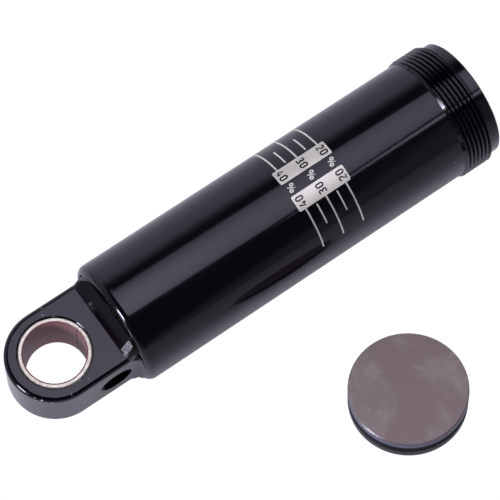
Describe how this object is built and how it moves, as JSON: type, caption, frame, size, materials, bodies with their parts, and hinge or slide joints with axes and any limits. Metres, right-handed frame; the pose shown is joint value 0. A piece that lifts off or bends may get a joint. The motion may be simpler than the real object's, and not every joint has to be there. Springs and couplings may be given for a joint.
{
  "type": "rear shock damper body and floating piston",
  "caption": "Bicycle rear shock damper body with a bushed eyelet, fill valve, sag scale and threaded open end, beside its loose internal floating piston.",
  "frame": {"origin": "centre of the eyelet bush's bore, midway between the eyelet's two faces", "axes": "+X along the tube's axis toward its open end; +Z along the eyelet bore, out of the face seen from above. The loose piston lies at -Y with its flat face up, on a bench plane that passes under the tube and leans 6.82 degrees about X."},
  "size_m": [0.1125, 0.0712, 0.028],
  "materials": {
    "black_anodised": "gloss black anodised",
    "bush_metal": "bright plated, cut edge",
    "bush_liner": "sintered bronze with a dark low friction layer",
    "hard_anodised": "satin grey-brown hard anodised",
    "seal_rubber": "matt black",
    "valve_metal": "nickel plated",
    "valve_pin_metal": "bright",
    "gasket_plastic": "moulded seal",
    "spring_steel": "bright wire"
  },
  "bodies": {
    "housing": {"damper_body": "black_anodised", "bushing_shell": "bush_metal", "bushing_liner": "bush_liner", "valve_head": "valve_metal", "valve_barrel": "valve_metal", "valve_gasket": "gasket_plastic", "valve_spring": "spring_steel"},
    "piston": {"floating_piston": "hard_anodised", "piston_quad_ring": "seal_rubber"},
    "valve_stem": {"valve_pin": "valve_pin_metal", "valve_cup": "valve_metal", "valve_seat_washer": "seal_rubber"}
  },
  "joints": [
    {"name": "piston_travel", "type": "slide", "parent": "housing", "child": "piston", "axis": [0, 0.1188, 0.9929], "range_m": [0, 0.085]},
    {"name": "valve_pin_travel", "type": "slide", "parent": "housing", "child": "valve_stem", "axis": [0.5534, 0.8329, 0], "range_m": [0, 0.0012], "stiffness_N_per_m": 900, "springref_m": -0.001, "deforming": ["valve_spring"]}
  ]
}
